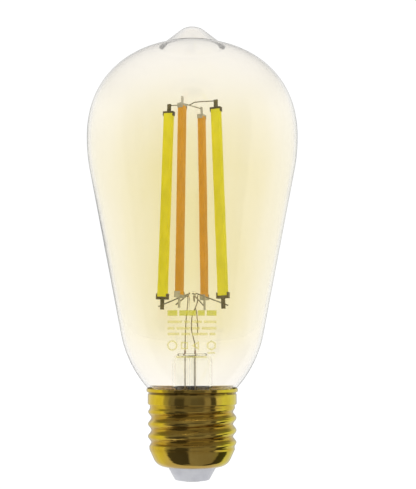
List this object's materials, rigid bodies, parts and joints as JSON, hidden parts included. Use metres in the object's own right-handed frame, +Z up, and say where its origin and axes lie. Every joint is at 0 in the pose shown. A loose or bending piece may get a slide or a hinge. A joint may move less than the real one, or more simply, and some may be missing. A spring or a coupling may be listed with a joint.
{
  "type": "smart light bulb",
  "caption": "Pear-shaped filament smart bulb with a pointed glass tip, amber glass, cool and warm light sticks on a glass stem, and a brass screw base holding a radio driver",
  "frame": {"origin": "centre of the flat underside of the centre contact, on the bulb's axis", "axes": "+Z runs up the bulb's axis from the contact to the glass tip; -Y faces the viewer; +X is to the viewer's right"},
  "size_m": [0.064, 0.064, 0.1374],
  "materials": {
    "amber_glass": "clear, tinted amber by a metallic film",
    "stem_glass": "clear lead-free glass",
    "cool_phosphor": "silicone filled with yellow phosphor",
    "warm_phosphor": "silicone filled with orange phosphor",
    "strip_ceramic": "translucent alumina strip",
    "chip_crystal": "cut crystal",
    "clip_bronze": "bronze-toned stamped sheet",
    "clip_silver": "nickel-plated stamped sheet",
    "support_wire": "drawn wire",
    "lead_wire": "drawn nickel wire",
    "seal_copper": "copper-clad sleeve",
    "shell_brass": "polished lacquered brass",
    "base_white": "moulded, satin",
    "cup_white": "moulded",
    "contact_nickel": "nickel-plated brass",
    "cement": "baked cement",
    "board_green": "solder mask over glass laminate",
    "package_black": "moulded package",
    "capacitor_sleeve": "shrunk sleeve",
    "ferrite": "sintered",
    "winding_copper": "enamelled wire",
    "resistor_body": "lacquered",
    "small_part": "fired body",
    "can_steel": "tin-plated sheet",
    "pin_gold": "gold flash",
    "solder": "reflowed",
    "live_insulation": "sleeved wire",
    "neutral_insulation": "sleeved wire"
  },
  "bodies": {
    "root": {"arm_cool_left": "support_wire", "arm_cool_right": "support_wire", "arm_warm_left": "support_wire", "arm_warm_right": "support_wire", "base_insulator": "base_white", "board_pins": "pin_gold", "bridge_rectifier": "package_black", "bulk_capacitor": "capacitor_sleeve", "centre_contact": "contact_nickel", "chip_capacitors": "small_part", "chip_resistors": "package_black", "choke_core": "ferrite", "choke_winding": "winding_copper", "common_link": "support_wire", "cool_left_bottom_clip": "clip_bronze", "cool_left_chips": "chip_crystal", "cool_left_phosphor": "cool_phosphor", "cool_left_strip": "strip_ceramic", "cool_left_top_clip": "clip_bronze", "cool_right_bottom_clip": "clip_bronze", "cool_right_chips": "chip_crystal", "cool_right_phosphor": "cool_phosphor", "cool_right_strip": "strip_ceramic", "cool_right_top_clip": "clip_bronze", "dimming_transistors": "package_black", "driver_board": "board_green", "driver_chip": "package_black", "driver_cup": "cup_white", "exhaust_tube": "stem_glass", "fuse_resistor": "resistor_body", "glass_envelope": "amber_glass", "lead_common": "lead_wire", "lead_cool": "lead_wire", "lead_seals": "seal_copper", "lead_warm": "lead_wire", "live_wire": "live_insulation", "neck_cement": "cement", "neutral_wire": "neutral_insulation", "radio_antenna": "winding_copper", "radio_board": "board_green", "radio_can": "can_steel", "radio_chip": "package_black", "screw_shell": "shell_brass", "smoothing_capacitor": "capacitor_sleeve", "solder_joints": "solder", "stem_flare": "stem_glass", "stem_rod": "stem_glass", "top_link_cool": "support_wire", "top_link_warm": "support_wire", "warm_left_bottom_clip": "clip_silver", "warm_left_chips": "chip_crystal", "warm_left_phosphor": "warm_phosphor", "warm_left_strip": "strip_ceramic", "warm_left_top_clip": "clip_silver", "warm_right_bottom_clip": "clip_silver", "warm_right_chips": "chip_crystal", "warm_right_phosphor": "warm_phosphor", "warm_right_strip": "strip_ceramic", "warm_right_top_clip": "clip_silver"}
  },
  "joints": []
}
